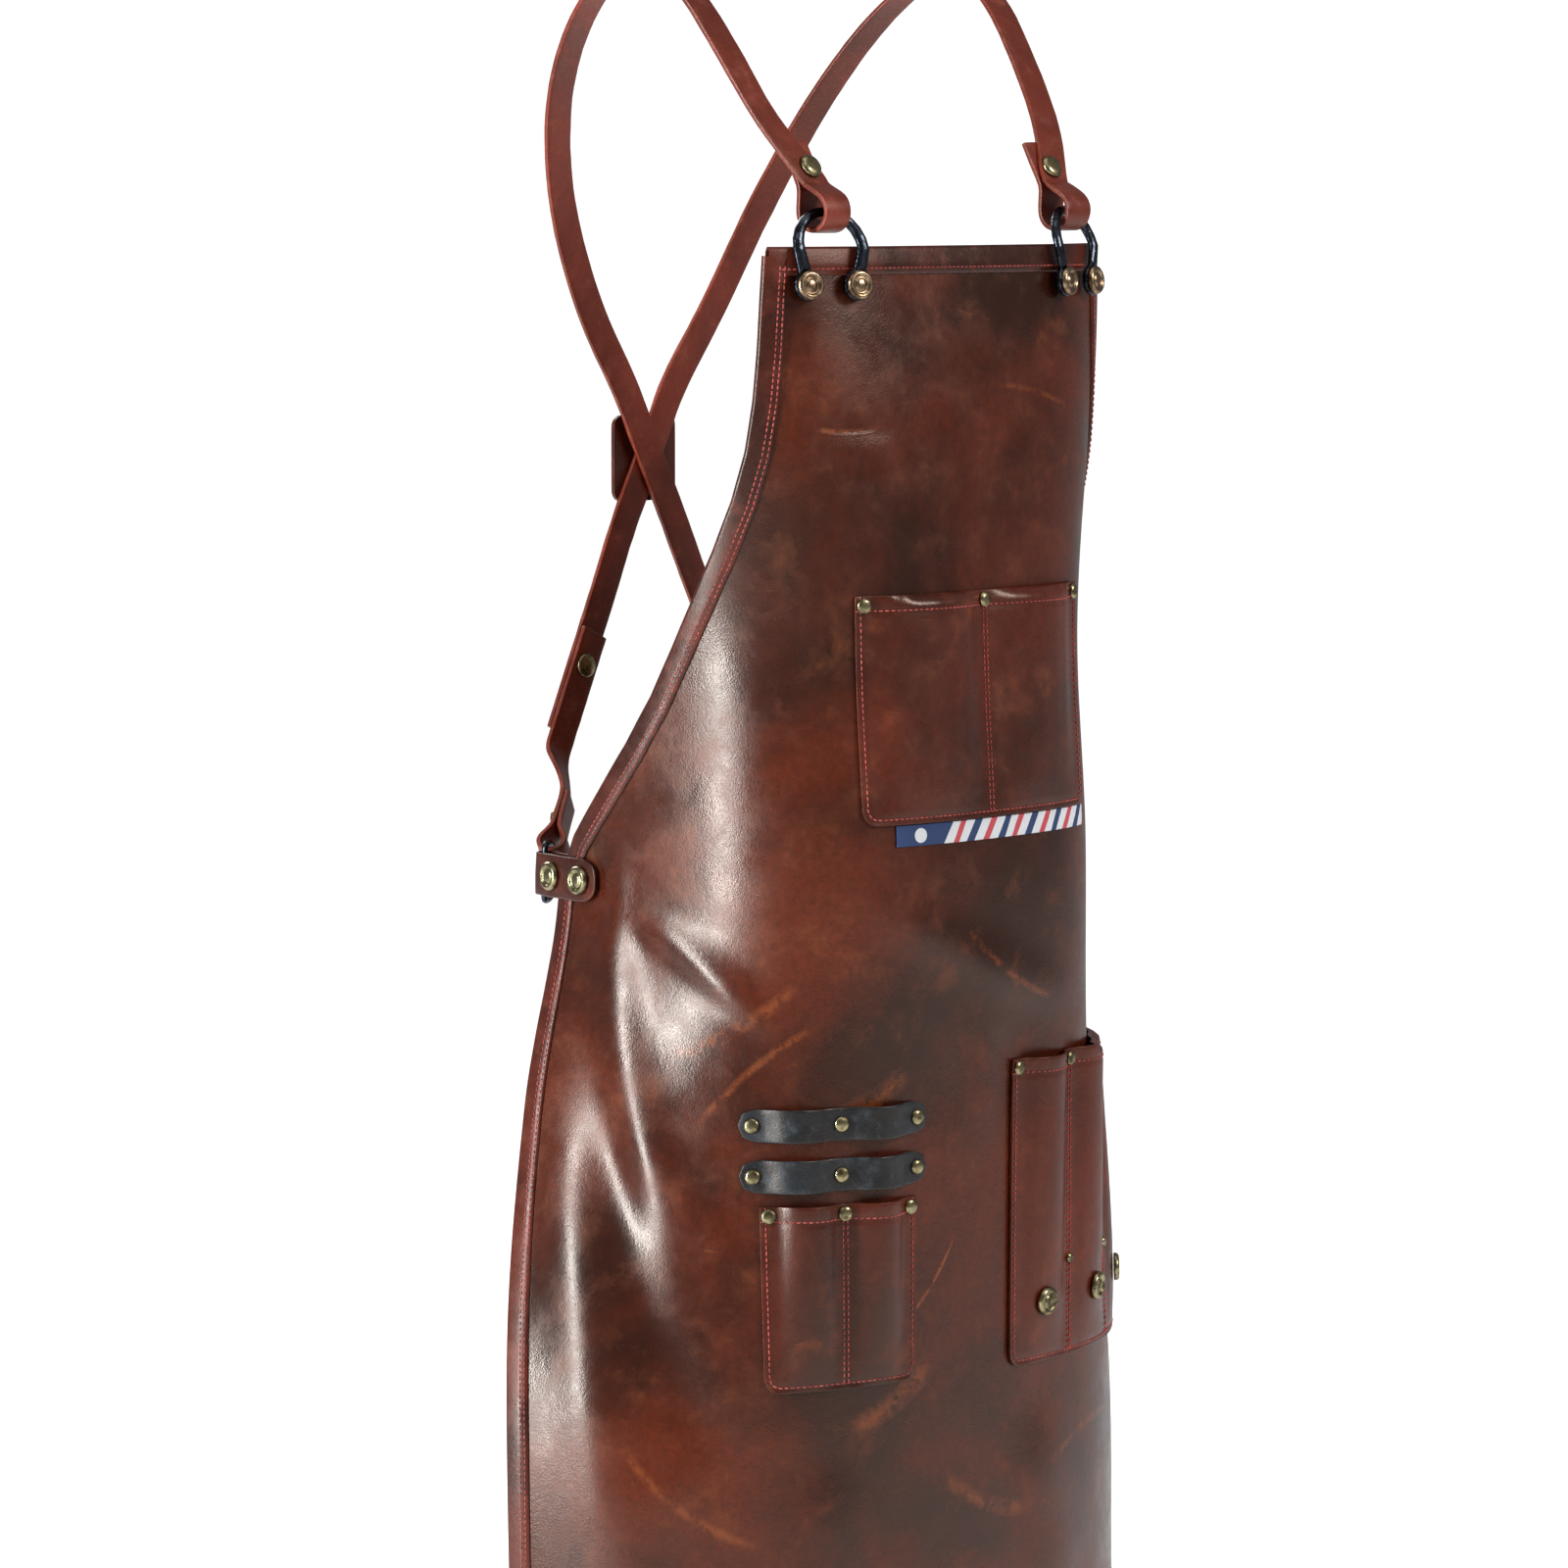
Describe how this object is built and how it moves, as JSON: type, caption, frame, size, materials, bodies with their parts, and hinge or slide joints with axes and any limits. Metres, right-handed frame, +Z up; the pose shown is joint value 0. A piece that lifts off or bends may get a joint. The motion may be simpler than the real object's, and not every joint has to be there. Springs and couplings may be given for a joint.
{
  "type": "leather welding apron",
  "caption": "Full-length leather work apron with riveted pockets, tool loops and a cross-back strap harness on metal bows and rings.",
  "frame": {"origin": "midway between the places where the two straps rest on the shoulders", "axes": "+Z up, -Y the way the wearer faces, +X the wearer's left"},
  "size_m": [0.4744, 0.2884, 0.9898],
  "materials": {
    "body_leather": "waxed pull-up leather, dark red-brown, smooth face",
    "binding_leather": "thin folded leather strip, dark red-brown",
    "strap_leather": "thick strap leather, red-brown, burnished edges",
    "black_leather": "bluish black leather strip",
    "tape": "woven tape, navy with white and red slanted stripes",
    "brass": "antique brass",
    "black_metal": "black enamelled steel"
  },
  "bodies": {
    "apron": {"apron_panel": "body_leather", "edge_binding": "binding_leather", "bib_top_hem": "binding_leather", "chest_pocket": "body_leather", "chest_pocket_rivet_1": "brass", "chest_pocket_rivet_2": "brass", "chest_pocket_rivet_3": "brass", "label_tape": "tape", "hip_pocket": "body_leather", "hip_pocket_rivet_1": "brass", "hip_pocket_rivet_2": "brass", "hip_pocket_rivet_3": "brass", "thigh_pocket": "body_leather", "thigh_pocket_rivet_1": "brass", "thigh_pocket_rivet_2": "brass", "thigh_pocket_rivet_3": "brass", "thigh_pocket_rivet_4": "brass", "divider_rivet_1": "brass", "divider_rivet_2": "brass", "thigh_stud_1": "brass", "thigh_stud_2": "brass", "thigh_stud_3": "brass", "tool_loop_upper": "black_leather", "loop_upper_rivet_1": "brass", "loop_upper_rivet_2": "brass", "loop_upper_rivet_3": "brass", "tool_loop_lower": "black_leather", "loop_lower_rivet_1": "brass", "loop_lower_rivet_2": "brass", "loop_lower_rivet_3": "brass", "bow_right": "black_metal", "bow_right_stud_1": "brass", "bow_right_stud_2": "brass", "waist_tab_right": "body_leather", "waist_tab_right_stud_1": "brass", "waist_tab_right_stud_2": "brass", "bow_left": "black_metal", "bow_left_stud_1": "brass", "bow_left_stud_2": "brass", "waist_tab_left": "body_leather", "waist_tab_left_stud_1": "brass", "waist_tab_left_stud_2": "brass"},
    "harness": {"shoulder_strap_right": "strap_leather", "strap_cap_right": "brass", "splice_cap_right": "brass", "shoulder_strap_left": "strap_leather", "strap_cap_left": "brass", "splice_cap_left": "brass", "cross_patch": "strap_leather"},
    "ring_right": {"waist_ring_right": "brass"},
    "ring_left": {"waist_ring_left": "brass"},
    "tail_right": {"back_strap_right": "strap_leather", "splice_base_right": "brass", "back_strap_cap_right": "brass"},
    "tail_left": {"back_strap_left": "strap_leather", "splice_base_left": "brass", "back_strap_cap_left": "brass"}
  },
  "joints": [
    {"name": "harness_lift", "type": "hinge", "parent": "apron", "child": "harness", "pos_m": [0, -0.11227, -0.14031], "axis": [1, 0, 0], "range_deg": [0, 150]},
    {"name": "ring_right_swing", "type": "hinge", "parent": "apron", "child": "ring_right", "pos_m": [-0.14355, 0.07377, -0.52602], "axis": [-0.0226, 0.0059, -0.9997], "range_deg": [0, 30]},
    {"name": "ring_left_swing", "type": "hinge", "parent": "apron", "child": "ring_left", "pos_m": [0.14355, 0.07377, -0.52602], "axis": [-0.0226, -0.0059, 0.9997], "range_deg": [0, 30]},
    {"name": "tail_right_swing", "type": "hinge", "parent": "ring_right", "child": "tail_right", "pos_m": [-0.12599, 0.08378, -0.51434], "axis": [0.5947, 0.3605, -0.7186], "range_deg": [0, 40]},
    {"name": "tail_left_swing", "type": "hinge", "parent": "ring_left", "child": "tail_left", "pos_m": [0.12599, 0.08378, -0.51434], "axis": [0.5947, -0.3605, 0.7186], "range_deg": [0, 40]}
  ]
}
